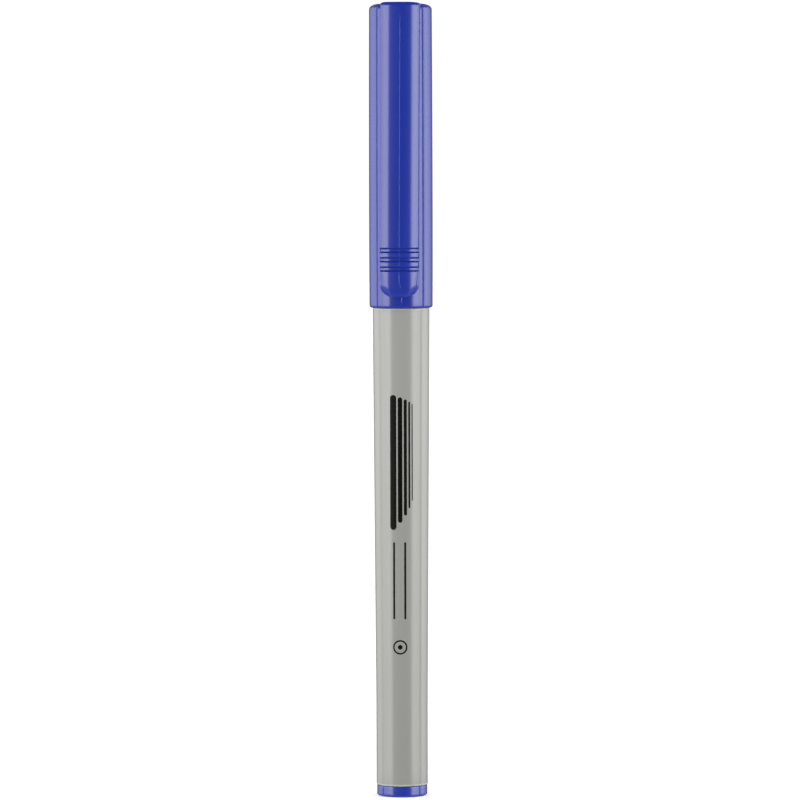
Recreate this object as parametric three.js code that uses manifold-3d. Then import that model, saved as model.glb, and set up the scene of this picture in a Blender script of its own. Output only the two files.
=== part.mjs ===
// Fine marker with a pull-off cap, cap on, standing on its end plug.
//
// Millimetres, +Z up the pen towards the cap, the pocket clip faces -Y.
// The origin is the centre of the end plug's flat outer face.
//
// The barrel is one moulding: a tapered tube, a shoulder that stops the cap, a
// neck that the cap grips, and the finger grip. A nose cone pressed into its
// front holds the nib, whose tail draws ink from a fibre roll in the barrel.
// The clip's tongue is moulded on the cap and bends at its root, so a thin
// seam parts the two there.

import * as THREE from 'three';
import { mergeVertices } from 'three/addons/utils/BufferGeometryUtils.js';
import Module from 'manifold-3d';

const wasm = await Module();
wasm.setup();

// End plug

const PLUG_RADIUS = 4.5;
const PLUG_HEAD_HEIGHT = 1.9;
const PLUG_CORNER_ROUND = 0.75;
const PLUG_RIM_CHAMFER = 0.12;
const PLUG_STEM_LENGTH = 12;
const PLUG_STEM_WALL = 0.9;
const PLUG_BEAD_HEIGHT = 0.05;
const PLUG_BEAD_FROM_HEAD = 3;
const PLUG_SLOTS = 4;
const PLUG_SLOT_WIDTH = 1.2;
const PLUG_SLOT_DEPTH = 2.5;

// Barrel outside

const BARREL_LENGTH = 85.65;
const BARREL_REAR_RADIUS = 4.6;
const BARREL_STRAIGHT_LENGTH = 15;
const BARREL_RIM_ROUND = 0.25;
const SHOULDER_RADIUS = 5.08;
const SHOULDER_ROUND = 0.2;
const NECK_LENGTH = 12.5;
const NECK_CHAMFER = 0.3;
const NECK_BEAD_HEIGHT = 0.04;
const NECK_BEAD_LENGTH = 1.2;
const NECK_BEAD_FROM_SHOULDER = 8;
const GRIP_LENGTH = 21.2;
const GRIP_REAR_RADIUS = 4.15;
const GRIP_FRONT_RADIUS = 3.65;
const GRIP_FRONT_ROUND = 0.35;

// Barrel inside

const BORE_REAR_RADIUS = 3.65;
const BORE_FRONT_RADIUS = 3.4;
const HOLDER_SOCKET_DEPTH = 14.5;
const CENTRING_RIBS = 6;
const CENTRING_RIB_WIDTH = 0.6;
const CENTRING_RIB_START = 4;
const CENTRING_RIB_END_GAP = 3;

// Ink supply

const RESERVOIR_RADIUS = 3.1;
const RESERVOIR_NIB_DEPTH = 9;
const FILM_THICKNESS = 0.08;
const FILM_SETBACK = 0.5;

// Nose and nib

const HOLDER_STEM_RADIUS = 2.6;
const HOLDER_STEM_LENGTH = 12;
const HOLDER_STEM_WALL = 0.8;
const HOLDER_COLLAR_RADIUS = 3;
const HOLDER_COLLAR_LENGTH = 2.5;
const HOLDER_COLLAR_ROUND = 0.35;
const HOLDER_CONE_RADIUS = 2.4;
const HOLDER_CONE_LENGTH = 4.1;
const HOLDER_TIP_RADIUS = 1;
const HOLDER_TIP_LENGTH = 0.6;
const HOLDER_CHANNELS = 2;
const HOLDER_CHANNEL_WIDTH = 0.6;
const HOLDER_CHANNEL_DEPTH = 0.3;
const SLEEVE_RADIUS = 0.62;
const SLEEVE_WALL = 0.14;
const SLEEVE_HELD_LENGTH = 5;
const SLEEVE_FREE_LENGTH = 2.5;
const SLEEVE_CONE_LENGTH = 0.7;
const NIB_POINT_RADIUS = 0.2;
const NIB_POINT_LENGTH = 0.45;
const NIB_TAIL_LENGTH = 8.6;

// Cap

const CAP_LENGTH = 54.2;
const CAP_BELLY_RADIUS = 5.685;
const CAP_TOP_RADIUS = 5.6;
const CAP_MOUTH_RADIUS = 5.65;
const CAP_BELLY_FROM_MOUTH = 18;
const CAP_MOUTH_ROUND = 0.6;
const CAP_TOP_ROUND_WIDTH = 1.85;
const CAP_TOP_ROUND_HEIGHT = 1.05;
const CAP_TOP_WALL = 1.1;
const CAP_SEAT_WALL = 1.15;
const CAP_BORE_RADIUS = 4.35;
const CAP_LEAD_IN = 0.12;

// Inner cap

const INNER_CAP_WALL = 0.8;
const INNER_CAP_CHAMBER_RADIUS = 3.2;
const INNER_CAP_SEAL_LENGTH = 2;
const INNER_CAP_TOP_WALL = 1;
const INNER_CAP_RIBS = 6;
const INNER_CAP_RIB_WIDTH = 0.8;

// Pocket clip

const CLIP_LENGTH = 52.5;
const CLIP_WIDTH = 7.1;
const CLIP_FACE_RADIUS = 5.6;
const CLIP_THICKNESS = 1;
const CLIP_RISE = 1.7;
const CLIP_ROOT_LENGTH = 6;
const CLIP_ABOVE_CAP = 0.25;
const CLIP_EDGE_ROUND = 0.3;
const CLIP_TOP_ROUND = 0.6;
const CLIP_TOP_CORNER_WIDTH = 1.6;
const CLIP_TOP_CORNER_HEIGHT = 0.35;
const CLIP_TIP_CORNER_WIDTH = 2.8;
const CLIP_TIP_CORNER_HEIGHT = 2.4;
const CLIP_TIP_ROLL_LENGTH = 1.95;
const CLIP_TIP_ROLL_DEPTH = 0.75;
const CLIP_GROOVES = 3;
const CLIP_GROOVE_PITCH = 1.62;
const CLIP_GROOVE_WIDTH = 1;
const CLIP_GROOVE_FLOOR = 0.42;
const CLIP_GROOVE_DEPTH = 0.4;
const CLIP_GROOVE_FROM_TIP = 5.2;
const CLIP_PAD_WIDTH = 2.4;
const CLIP_PAD_LENGTH = 4.6;
const CLIP_PAD_FROM_TIP = 2.1;
const CLIP_PAD_RAMP = 0.8;
const CLIP_ROOT_BACK = 3.6;

// Clearances

const PRESS_GAP = 0.05;
const CAP_FIT = 0.08;
const FILM_GAP = 0.03;
const CENTRING_GAP = 0.06;
const NIB_GAP = 0.04;
const END_GAP = 0.3;
const CLIP_SEAM = 0.12;
const CLIP_PAD_GAP = 0.15;

// Facets

const TURNED_SIDES = 48;
const NOSE_SIDES = 32;
const NIB_SIDES = 24;
const CORNER_DIVISIONS = 2;
const BOW_STEPS = 8;
const WELD = 1e-5;

// How far a tool passes the faces that it cuts or joins

const OVERCUT = 0.2;

// Heights that several pieces share

const shoulderZ = PLUG_HEAD_HEIGHT + BARREL_LENGTH;
const neckEndZ = shoulderZ + NECK_LENGTH;
const gripFrontZ = neckEndZ + GRIP_LENGTH;
const socketFloorZ = gripFrontZ - HOLDER_SOCKET_DEPTH;
const plugStemEndZ = PLUG_HEAD_HEIGHT + PLUG_STEM_LENGTH;
const reservoirRearZ = plugStemEndZ + END_GAP;
const reservoirFrontZ = socketFloorZ - END_GAP;
const coneStartZ = gripFrontZ + HOLDER_COLLAR_LENGTH;
const holderFrontZ = coneStartZ + HOLDER_CONE_LENGTH + HOLDER_TIP_LENGTH;
const sleeveRearZ = holderFrontZ - SLEEVE_HELD_LENGTH;
const sleeveFrontZ = holderFrontZ + SLEEVE_FREE_LENGTH;
const capTopZ = shoulderZ + CAP_LENGTH;
const capCeilingZ = capTopZ - CAP_TOP_WALL;
const innerCapMouthZ = gripFrontZ + END_GAP;
const clipTopZ = capTopZ + CLIP_ABOVE_CAP;
const clipRootZ = clipTopZ - CLIP_ROOT_LENGTH;
const clipTipZ = clipTopZ - CLIP_LENGTH;

// Radii that follow from what a piece fits

const capSeatRadius = CAP_BELLY_RADIUS - CAP_SEAT_WALL;
const neckRadius = capSeatRadius - CAP_FIT;
const plugStemRadius = boreRadius(plugStemEndZ) - PRESS_GAP - PLUG_BEAD_HEIGHT;
const filmRadius = RESERVOIR_RADIUS + FILM_GAP + FILM_THICKNESS;
const nibRadius = SLEEVE_RADIUS - SLEEVE_WALL - NIB_GAP;
const clipCrest = CAP_BELLY_RADIUS + CLIP_RISE;
const clipAxisY = CLIP_FACE_RADIUS - clipCrest;

// The bore narrows a little from the rear opening to the front, so that the
// moulding leaves its core.
function boreRadius(z) {
  const depth = (z - PLUG_HEAD_HEIGHT) / (socketFloorZ - PLUG_HEAD_HEIGHT);
  return BORE_REAR_RADIUS + (BORE_FRONT_RADIUS - BORE_REAR_RADIUS) * depth;
}

// The cap swells gently from its top and its mouth to a belly between them.
function capRadius(z) {
  const bellyZ = shoulderZ + CAP_BELLY_FROM_MOUTH;
  const [endRadius, endZ] = z > bellyZ ? [CAP_TOP_RADIUS, capTopZ] : [CAP_MOUTH_RADIUS, shoulderZ];
  const fromBelly = (z - bellyZ) / (endZ - bellyZ);
  return CAP_BELLY_RADIUS - (CAP_BELLY_RADIUS - endRadius) * fromBelly ** 2;
}

// Solids

function solidFrom(geometry) {
  geometry.deleteAttribute('normal');
  geometry.deleteAttribute('uv');
  const merged = mergeVertices(geometry, WELD);
  const corners = merged.index.array;
  const kept = [];
  for (let i = 0; i < corners.length; i += 3) {
    const [a, b, c] = corners.slice(i, i + 3);
    if (a !== b && b !== c && c !== a) {
      kept.push(a, b, c);
    }
  }
  return new wasm.Manifold(new wasm.Mesh({
    numProp: 3,
    vertProperties: merged.attributes.position.array,
    triVerts: new Uint32Array(kept),
  }));
}

function geometryFrom(solid) {
  const { vertProperties, triVerts } = solid.getMesh();
  const geometry = new THREE.BufferGeometry();
  geometry.setAttribute('position', new THREE.BufferAttribute(vertProperties, 3));
  geometry.setIndex(new THREE.BufferAttribute(triVerts, 1));
  geometry.computeVertexNormals();
  return geometry;
}

// A profile holds radius and height. Its outside runs up and its inside down.
function turned(profile, sides = TURNED_SIDES, axisY = 0) {
  const geometry = new THREE.LatheGeometry(profile.getPoints(CORNER_DIVISIONS), sides);
  geometry.rotateX(Math.PI / 2);
  geometry.translate(0, axisY, 0);
  return solidFrom(geometry);
}

// An outline of x and z, drawn out from the plane y = front back to y = back.
function drawnAlongY(outline, front, back) {
  const settings = { depth: back - front, bevelEnabled: false, curveSegments: 12 };
  const geometry = new THREE.ExtrudeGeometry(outline, settings);
  geometry.rotateX(Math.PI / 2);
  geometry.translate(0, back, 0);
  return solidFrom(geometry);
}

// An outline of y and z, drawn out evenly to both sides of the plane x = 0.
function drawnAlongX(outline, width) {
  const geometry = new THREE.ExtrudeGeometry(outline, { depth: width, bevelEnabled: false });
  geometry.rotateX(Math.PI / 2);
  geometry.rotateZ(Math.PI / 2);
  geometry.translate(-width / 2, 0, 0);
  return solidFrom(geometry);
}

// An outline of x and y, drawn out between two heights.
function drawnAlongZ(outline, lowZ, highZ) {
  const settings = { depth: highZ - lowZ, bevelEnabled: false, curveSegments: 4 };
  const geometry = new THREE.ExtrudeGeometry(outline, settings);
  geometry.translate(0, 0, lowZ);
  return solidFrom(geometry);
}

// A bar that stands off the axis, between two radii and two heights.
function radialBar(innerRadius, outerRadius, width, lowZ, highZ, angle) {
  const bar = new THREE.BoxGeometry(outerRadius - innerRadius, width, highZ - lowZ);
  bar.translate((innerRadius + outerRadius) / 2, 0, (lowZ + highZ) / 2);
  bar.rotateZ(angle);
  return solidFrom(bar);
}

function roundTheAxis(count, makeSolid) {
  return Array.from({ length: count }, (_, i) => makeSolid((2 * Math.PI * i) / count));
}

// Quarter rounds on a profile's outside corners.
function lowerOuterRound(profile, radius, z, width, height = width) {
  profile.lineTo(radius - width, z);
  profile.absellipse(radius - width, z + height, width, height, -Math.PI / 2, 0, false, 0);
}

function upperOuterRound(profile, radius, z, width, height = width) {
  profile.absellipse(radius - width, z - height, width, height, 0, Math.PI / 2, false, 0);
}

// Pieces of the rear end

function endPlug() {
  const beadZ = PLUG_HEAD_HEIGHT + PLUG_BEAD_FROM_HEAD;
  const beadRadius = plugStemRadius + PLUG_BEAD_HEIGHT;
  const hollowRadius = plugStemRadius - PLUG_STEM_WALL;
  const profile = new THREE.Path();
  profile.moveTo(0, 0);
  lowerOuterRound(profile, PLUG_RADIUS, 0, PLUG_CORNER_ROUND);
  profile.lineTo(PLUG_RADIUS, PLUG_HEAD_HEIGHT - PLUG_RIM_CHAMFER);
  profile.lineTo(PLUG_RADIUS - PLUG_RIM_CHAMFER, PLUG_HEAD_HEIGHT);
  profile.lineTo(plugStemRadius, PLUG_HEAD_HEIGHT);
  profile.lineTo(plugStemRadius, beadZ - PLUG_BEAD_HEIGHT);
  profile.lineTo(beadRadius, beadZ);
  profile.lineTo(plugStemRadius, beadZ + PLUG_BEAD_HEIGHT);
  upperOuterRound(profile, plugStemRadius, plugStemEndZ, PLUG_STEM_WALL / 2);
  profile.lineTo(hollowRadius, plugStemEndZ);
  profile.lineTo(hollowRadius, PLUG_HEAD_HEIGHT);
  profile.lineTo(0, PLUG_HEAD_HEIGHT);
  let plug = turned(profile);
  const slotLowZ = plugStemEndZ - PLUG_SLOT_DEPTH;
  const slotReach = plugStemRadius + OVERCUT;
  const slot = (angle) => radialBar(1, slotReach, PLUG_SLOT_WIDTH, slotLowZ, plugStemEndZ + OVERCUT, angle);
  for (const cutter of roundTheAxis(PLUG_SLOTS, slot)) {
    plug = plug.subtract(cutter);
  }
  return plug;
}

function neckBead(profile) {
  const middleZ = shoulderZ + NECK_BEAD_FROM_SHOULDER;
  profile.lineTo(neckRadius, middleZ - NECK_BEAD_LENGTH / 2);
  profile.lineTo(neckRadius + NECK_BEAD_HEIGHT, middleZ);
  profile.lineTo(neckRadius, middleZ + NECK_BEAD_LENGTH / 2);
}

function barrelProfile() {
  const socketRadius = HOLDER_STEM_RADIUS + PRESS_GAP;
  const profile = new THREE.Path();
  profile.moveTo(BORE_REAR_RADIUS, PLUG_HEAD_HEIGHT);
  lowerOuterRound(profile, BARREL_REAR_RADIUS, PLUG_HEAD_HEIGHT, BARREL_RIM_ROUND);
  profile.lineTo(BARREL_REAR_RADIUS, PLUG_HEAD_HEIGHT + BARREL_STRAIGHT_LENGTH);
  upperOuterRound(profile, SHOULDER_RADIUS, shoulderZ, SHOULDER_ROUND);
  profile.lineTo(neckRadius, shoulderZ);
  neckBead(profile);
  profile.lineTo(neckRadius, neckEndZ - NECK_CHAMFER);
  profile.lineTo(GRIP_REAR_RADIUS, neckEndZ);
  upperOuterRound(profile, GRIP_FRONT_RADIUS, gripFrontZ, GRIP_FRONT_ROUND);
  profile.lineTo(socketRadius, gripFrontZ);
  profile.lineTo(socketRadius, socketFloorZ);
  profile.lineTo(BORE_FRONT_RADIUS, socketFloorZ);
  profile.lineTo(BORE_REAR_RADIUS, PLUG_HEAD_HEIGHT);
  return profile;
}

function barrel() {
  const lowZ = plugStemEndZ + CENTRING_RIB_START;
  const highZ = socketFloorZ - CENTRING_RIB_END_GAP;
  const innerRadius = filmRadius + CENTRING_GAP;
  const rib = (angle) => {
    return radialBar(innerRadius, boreRadius(lowZ) + OVERCUT, CENTRING_RIB_WIDTH, lowZ, highZ, angle);
  };
  return roundTheAxis(CENTRING_RIBS, rib).reduce((body, bar) => body.add(bar), turned(barrelProfile()));
}

// Ink supply

function inkReservoir() {
  const nibHoleRadius = nibRadius + NIB_GAP;
  const holeFloorZ = reservoirFrontZ - RESERVOIR_NIB_DEPTH;
  const profile = new THREE.Path();
  profile.moveTo(0, reservoirRearZ);
  profile.lineTo(RESERVOIR_RADIUS, reservoirRearZ);
  profile.lineTo(RESERVOIR_RADIUS, reservoirFrontZ);
  profile.lineTo(nibHoleRadius, reservoirFrontZ);
  profile.lineTo(nibHoleRadius, holeFloorZ);
  profile.lineTo(0, holeFloorZ);
  return turned(profile);
}

function reservoirFilm() {
  const innerRadius = RESERVOIR_RADIUS + FILM_GAP;
  const rearZ = reservoirRearZ + FILM_SETBACK;
  const frontZ = reservoirFrontZ - FILM_SETBACK;
  const profile = new THREE.Path();
  profile.moveTo(innerRadius, rearZ);
  profile.lineTo(filmRadius, rearZ);
  profile.lineTo(filmRadius, frontZ);
  profile.lineTo(innerRadius, frontZ);
  profile.lineTo(innerRadius, rearZ);
  return turned(profile);
}

// Nose and nib

function nibHolder() {
  const rearZ = gripFrontZ - HOLDER_STEM_LENGTH;
  const coneEndZ = coneStartZ + HOLDER_CONE_LENGTH;
  const sleeveHole = SLEEVE_RADIUS + NIB_GAP;
  const nibHole = nibRadius + NIB_GAP;
  const hollowRadius = HOLDER_STEM_RADIUS - HOLDER_STEM_WALL;
  const hollowEndZ = gripFrontZ - HOLDER_COLLAR_LENGTH;
  const profile = new THREE.Path();
  profile.moveTo(hollowRadius, rearZ);
  profile.lineTo(HOLDER_STEM_RADIUS, rearZ);
  profile.lineTo(HOLDER_STEM_RADIUS, gripFrontZ);
  profile.lineTo(HOLDER_COLLAR_RADIUS, gripFrontZ);
  upperOuterRound(profile, HOLDER_COLLAR_RADIUS, coneStartZ, HOLDER_COLLAR_ROUND);
  profile.lineTo(HOLDER_CONE_RADIUS, coneStartZ);
  profile.lineTo(HOLDER_TIP_RADIUS, coneEndZ);
  profile.lineTo(HOLDER_TIP_RADIUS, holderFrontZ);
  profile.lineTo(sleeveHole, holderFrontZ);
  profile.lineTo(sleeveHole, sleeveRearZ);
  profile.lineTo(nibHole, sleeveRearZ);
  profile.lineTo(nibHole, hollowEndZ);
  profile.lineTo(hollowRadius, hollowEndZ);
  profile.lineTo(hollowRadius, rearZ);
  let holder = turned(profile, NOSE_SIDES);
  const floorRadius = HOLDER_STEM_RADIUS - HOLDER_CHANNEL_DEPTH;
  const channel = (angle) => {
    const alongStem = radialBar(
      floorRadius, HOLDER_STEM_RADIUS + OVERCUT, HOLDER_CHANNEL_WIDTH, rearZ - OVERCUT, gripFrontZ, angle);
    const underCollar = radialBar(
      floorRadius, HOLDER_COLLAR_RADIUS + OVERCUT, HOLDER_CHANNEL_WIDTH,
      gripFrontZ - OVERCUT, gripFrontZ + HOLDER_CHANNEL_DEPTH, angle);
    return alongStem.add(underCollar);
  };
  for (const cutter of roundTheAxis(HOLDER_CHANNELS, channel)) {
    holder = holder.subtract(cutter);
  }
  return holder;
}

function nibSleeve() {
  const innerRadius = SLEEVE_RADIUS - SLEEVE_WALL;
  const mouthRadius = NIB_POINT_RADIUS + NIB_GAP;
  const coneZ = sleeveFrontZ - SLEEVE_CONE_LENGTH;
  const profile = new THREE.Path();
  profile.moveTo(innerRadius, sleeveRearZ);
  profile.lineTo(SLEEVE_RADIUS, sleeveRearZ);
  profile.lineTo(SLEEVE_RADIUS, coneZ);
  profile.lineTo(mouthRadius + SLEEVE_WALL, sleeveFrontZ);
  profile.lineTo(mouthRadius, sleeveFrontZ);
  profile.lineTo(innerRadius, coneZ);
  profile.lineTo(innerRadius, sleeveRearZ);
  return turned(profile, NIB_SIDES);
}

function nib() {
  const tailZ = reservoirFrontZ - NIB_TAIL_LENGTH;
  const coneZ = sleeveFrontZ - SLEEVE_CONE_LENGTH;
  const pointZ = sleeveFrontZ + NIB_POINT_LENGTH;
  const profile = new THREE.Path();
  profile.moveTo(0, tailZ);
  profile.lineTo(nibRadius, tailZ);
  profile.lineTo(nibRadius, coneZ);
  profile.lineTo(NIB_POINT_RADIUS, sleeveFrontZ);
  upperOuterRound(profile, NIB_POINT_RADIUS, pointZ, NIB_POINT_RADIUS);
  return turned(profile, NIB_SIDES);
}

// Cap

function capOutside() {
  const lowZ = shoulderZ + CAP_MOUTH_ROUND;
  const highZ = capTopZ - CAP_TOP_ROUND_HEIGHT;
  const profile = new THREE.Path();
  profile.moveTo(0, shoulderZ);
  lowerOuterRound(profile, capRadius(lowZ), shoulderZ, CAP_MOUTH_ROUND);
  for (let i = 1; i < BOW_STEPS; i += 1) {
    const z = lowZ + ((highZ - lowZ) * i) / BOW_STEPS;
    profile.lineTo(capRadius(z), z);
  }
  upperOuterRound(profile, capRadius(highZ), capTopZ, CAP_TOP_ROUND_WIDTH, CAP_TOP_ROUND_HEIGHT);
  profile.lineTo(0, capTopZ);
  return turned(profile);
}

function capCavity() {
  const belowMouthZ = shoulderZ - OVERCUT;
  const seatEndZ = neckEndZ + END_GAP;
  const profile = new THREE.Path();
  profile.moveTo(0, belowMouthZ);
  profile.lineTo(capSeatRadius + CAP_LEAD_IN + OVERCUT, belowMouthZ);
  profile.lineTo(capSeatRadius, shoulderZ + CAP_LEAD_IN);
  profile.lineTo(capSeatRadius, seatEndZ);
  profile.lineTo(CAP_BORE_RADIUS, seatEndZ + capSeatRadius - CAP_BORE_RADIUS);
  profile.lineTo(CAP_BORE_RADIUS, capCeilingZ);
  profile.lineTo(0, capCeilingZ);
  return turned(profile);
}

// The space that the band keeps within: its sides, and a round from each side to
// the arched face. Between the rounds it is open past the face.
function bandEdges(lowZ, highZ) {
  const half = CLIP_WIDTH / 2;
  const roundX = half - CLIP_EDGE_ROUND;
  const roundReach = CLIP_FACE_RADIUS - CLIP_EDGE_ROUND;
  const lean = Math.asin(roundX / roundReach);
  const roundY = clipAxisY - roundReach * Math.cos(lean);
  const section = new THREE.Shape();
  section.moveTo(half, clipAxisY);
  section.lineTo(half, roundY);
  section.absarc(roundX, roundY, CLIP_EDGE_ROUND, 0, lean - Math.PI / 2, true);
  section.lineTo(0, clipAxisY - CLIP_FACE_RADIUS / Math.cos(lean));
  section.absarc(-roundX, roundY, CLIP_EDGE_ROUND, -lean - Math.PI / 2, -Math.PI, true);
  section.lineTo(-half, clipAxisY);
  section.closePath();
  return drawnAlongZ(section, lowZ, highZ);
}

// The band's fixed root is a disc about the clip's own axis, kept only within
// the band's outline and edges, and in front of the cap's bore.
function clipRoot() {
  const disc = new THREE.Path();
  disc.moveTo(0, clipRootZ);
  disc.lineTo(CLIP_FACE_RADIUS, clipRootZ);
  upperOuterRound(disc, CLIP_FACE_RADIUS, clipTopZ, CLIP_TOP_ROUND);
  disc.lineTo(0, clipTopZ);
  const half = CLIP_WIDTH / 2;
  const outline = new THREE.Shape();
  outline.moveTo(-half, clipRootZ - OVERCUT);
  outline.lineTo(half, clipRootZ - OVERCUT);
  outline.absellipse(
    half - CLIP_TOP_CORNER_WIDTH, clipTopZ - CLIP_TOP_CORNER_HEIGHT,
    CLIP_TOP_CORNER_WIDTH, CLIP_TOP_CORNER_HEIGHT, 0, Math.PI / 2, false, 0);
  outline.absellipse(
    CLIP_TOP_CORNER_WIDTH - half, clipTopZ - CLIP_TOP_CORNER_HEIGHT,
    CLIP_TOP_CORNER_WIDTH, CLIP_TOP_CORNER_HEIGHT, Math.PI / 2, Math.PI, false, 0);
  outline.closePath();
  const front = -clipCrest - OVERCUT;
  return turned(disc, TURNED_SIDES, clipAxisY)
    .intersect(drawnAlongY(outline, front, -CLIP_ROOT_BACK))
    .intersect(bandEdges(clipRootZ - OVERCUT, clipTopZ + OVERCUT));
}

function capBody() {
  return capOutside().add(clipRoot()).subtract(capCavity());
}

function innerCap() {
  const ribRadius = CAP_BORE_RADIUS - PRESS_GAP;
  const wallRadius = INNER_CAP_CHAMBER_RADIUS + INNER_CAP_WALL;
  const sealRadius = HOLDER_COLLAR_RADIUS + PRESS_GAP;
  const sealEndZ = innerCapMouthZ + INNER_CAP_SEAL_LENGTH;
  const chamberEndZ = capCeilingZ - INNER_CAP_TOP_WALL;
  const step = INNER_CAP_CHAMBER_RADIUS - sealRadius;
  const profile = new THREE.Path();
  profile.moveTo(sealRadius, innerCapMouthZ);
  profile.lineTo(wallRadius, innerCapMouthZ);
  profile.lineTo(wallRadius, capCeilingZ);
  profile.lineTo(0, capCeilingZ);
  profile.lineTo(0, chamberEndZ);
  profile.lineTo(INNER_CAP_CHAMBER_RADIUS, chamberEndZ);
  profile.lineTo(INNER_CAP_CHAMBER_RADIUS, sealEndZ + step);
  profile.lineTo(sealRadius, sealEndZ);
  profile.lineTo(sealRadius, innerCapMouthZ);
  const rib = (angle) => {
    const innerRadius = wallRadius - INNER_CAP_WALL / 2;
    return radialBar(innerRadius, ribRadius, INNER_CAP_RIB_WIDTH, innerCapMouthZ, capCeilingZ, angle);
  };
  return roundTheAxis(INNER_CAP_RIBS, rib).reduce((body, bar) => body.add(bar), turned(profile));
}

// Pocket clip

function tongueOutline(topZ) {
  const half = CLIP_WIDTH / 2;
  const cornerX = half - CLIP_TIP_CORNER_WIDTH;
  const cornerZ = clipTipZ + CLIP_TIP_CORNER_HEIGHT;
  const outline = new THREE.Shape();
  outline.moveTo(half, topZ);
  outline.lineTo(-half, topZ);
  outline.absellipse(
    -cornerX, cornerZ, CLIP_TIP_CORNER_WIDTH, CLIP_TIP_CORNER_HEIGHT, Math.PI, 1.5 * Math.PI, false, 0);
  outline.absellipse(
    cornerX, cornerZ, CLIP_TIP_CORNER_WIDTH, CLIP_TIP_CORNER_HEIGHT, 1.5 * Math.PI, 2 * Math.PI, false, 0);
  outline.closePath();
  return outline;
}

// The face runs up from the rolled tip, with grooves for the finger, each with a
// flat floor and sloping walls.
function tongueFace(profile) {
  const floorRadius = CLIP_FACE_RADIUS - CLIP_GROOVE_DEPTH;
  lowerOuterRound(profile, CLIP_FACE_RADIUS, clipTipZ, CLIP_TIP_ROLL_DEPTH, CLIP_TIP_ROLL_LENGTH);
  for (let i = 0; i < CLIP_GROOVES; i += 1) {
    const grooveZ = clipTipZ + CLIP_GROOVE_FROM_TIP + i * CLIP_GROOVE_PITCH;
    profile.lineTo(CLIP_FACE_RADIUS, grooveZ - CLIP_GROOVE_WIDTH / 2);
    profile.lineTo(floorRadius, grooveZ - CLIP_GROOVE_FLOOR / 2);
    profile.lineTo(floorRadius, grooveZ + CLIP_GROOVE_FLOOR / 2);
    profile.lineTo(CLIP_FACE_RADIUS, grooveZ + CLIP_GROOVE_WIDTH / 2);
  }
}

function clipPad() {
  const faceY = -(CAP_BELLY_RADIUS + CLIP_PAD_GAP);
  const buriedY = CLIP_THICKNESS / 2 - clipCrest;
  const lowZ = clipTipZ + CLIP_PAD_FROM_TIP;
  const highZ = lowZ + CLIP_PAD_LENGTH;
  const outline = new THREE.Shape();
  outline.moveTo(buriedY, lowZ);
  outline.lineTo(faceY, lowZ + CLIP_PAD_RAMP);
  outline.lineTo(faceY, highZ - CLIP_PAD_RAMP);
  outline.lineTo(buriedY, highZ);
  outline.closePath();
  return drawnAlongX(outline, CLIP_PAD_WIDTH);
}

function pocketClip() {
  const topZ = clipRootZ - CLIP_SEAM;
  const backRadius = CLIP_FACE_RADIUS - CLIP_THICKNESS;
  const profile = new THREE.Path();
  profile.moveTo(backRadius, clipTipZ);
  tongueFace(profile);
  profile.lineTo(CLIP_FACE_RADIUS, topZ);
  profile.lineTo(backRadius, topZ);
  profile.lineTo(backRadius, clipTipZ);
  const front = -clipCrest - OVERCUT;
  return turned(profile, TURNED_SIDES, clipAxisY)
    .intersect(drawnAlongY(tongueOutline(topZ + OVERCUT), front, clipAxisY))
    .intersect(bandEdges(clipTipZ - OVERCUT, topZ + OVERCUT))
    .add(clipPad());
}

// Materials

function plastic(color, roughness) {
  return new THREE.MeshStandardMaterial({ color, roughness, metalness: 0 });
}

const BLUE = 0x22349a;
const LIGHT_GREY = 0xa6a6a0;

// The marker

const marker = new THREE.Group();

function place(name, solid, material) {
  const mesh = new THREE.Mesh(geometryFrom(solid), material);
  mesh.name = name;
  marker.add(mesh);
}

place('end_plug', endPlug(), plastic(BLUE, 0.3));
place('barrel', barrel(), plastic(LIGHT_GREY, 0.4));
place('ink_reservoir', inkReservoir(), plastic(0x1b2a78, 0.95));
place('reservoir_film', reservoirFilm(), plastic(0xd8dce4, 0.25));
place('nib_holder', nibHolder(), plastic(0x9a9a95, 0.45));
place('nib_sleeve', nibSleeve(), new THREE.MeshStandardMaterial({
  color: 0xc9ccd0,
  roughness: 0.25,
  metalness: 1,
}));
place('nib', nib(), plastic(0x1a2873, 0.6));
place('cap_body', capBody(), plastic(BLUE, 0.25));
place('inner_cap', innerCap(), plastic(0xe4e6e8, 0.5));
place('pocket_clip', pocketClip(), plastic(BLUE, 0.25));

export default marker;
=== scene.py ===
"""Fine marker with a pull-off cap: fine forms, finishes, studio light and camera."""

import math

import bpy
import numpy as np
from mathutils import Matrix, Vector


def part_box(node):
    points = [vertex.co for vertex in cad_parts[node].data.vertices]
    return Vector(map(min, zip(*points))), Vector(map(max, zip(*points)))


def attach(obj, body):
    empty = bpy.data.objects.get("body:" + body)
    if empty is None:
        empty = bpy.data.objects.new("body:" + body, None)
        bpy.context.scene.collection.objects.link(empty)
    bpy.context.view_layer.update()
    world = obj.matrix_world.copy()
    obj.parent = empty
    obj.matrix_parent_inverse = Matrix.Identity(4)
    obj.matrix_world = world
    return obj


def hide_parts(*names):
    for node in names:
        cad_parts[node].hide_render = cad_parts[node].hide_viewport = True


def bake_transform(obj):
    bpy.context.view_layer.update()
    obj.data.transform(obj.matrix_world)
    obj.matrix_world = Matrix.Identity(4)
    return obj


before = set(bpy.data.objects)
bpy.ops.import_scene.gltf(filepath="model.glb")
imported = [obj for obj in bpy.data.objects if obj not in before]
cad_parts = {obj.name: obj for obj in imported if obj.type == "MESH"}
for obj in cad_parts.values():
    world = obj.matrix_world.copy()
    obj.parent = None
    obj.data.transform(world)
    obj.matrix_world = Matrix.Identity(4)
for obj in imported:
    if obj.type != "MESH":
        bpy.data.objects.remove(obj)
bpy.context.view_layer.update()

MM = 0.001


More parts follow.
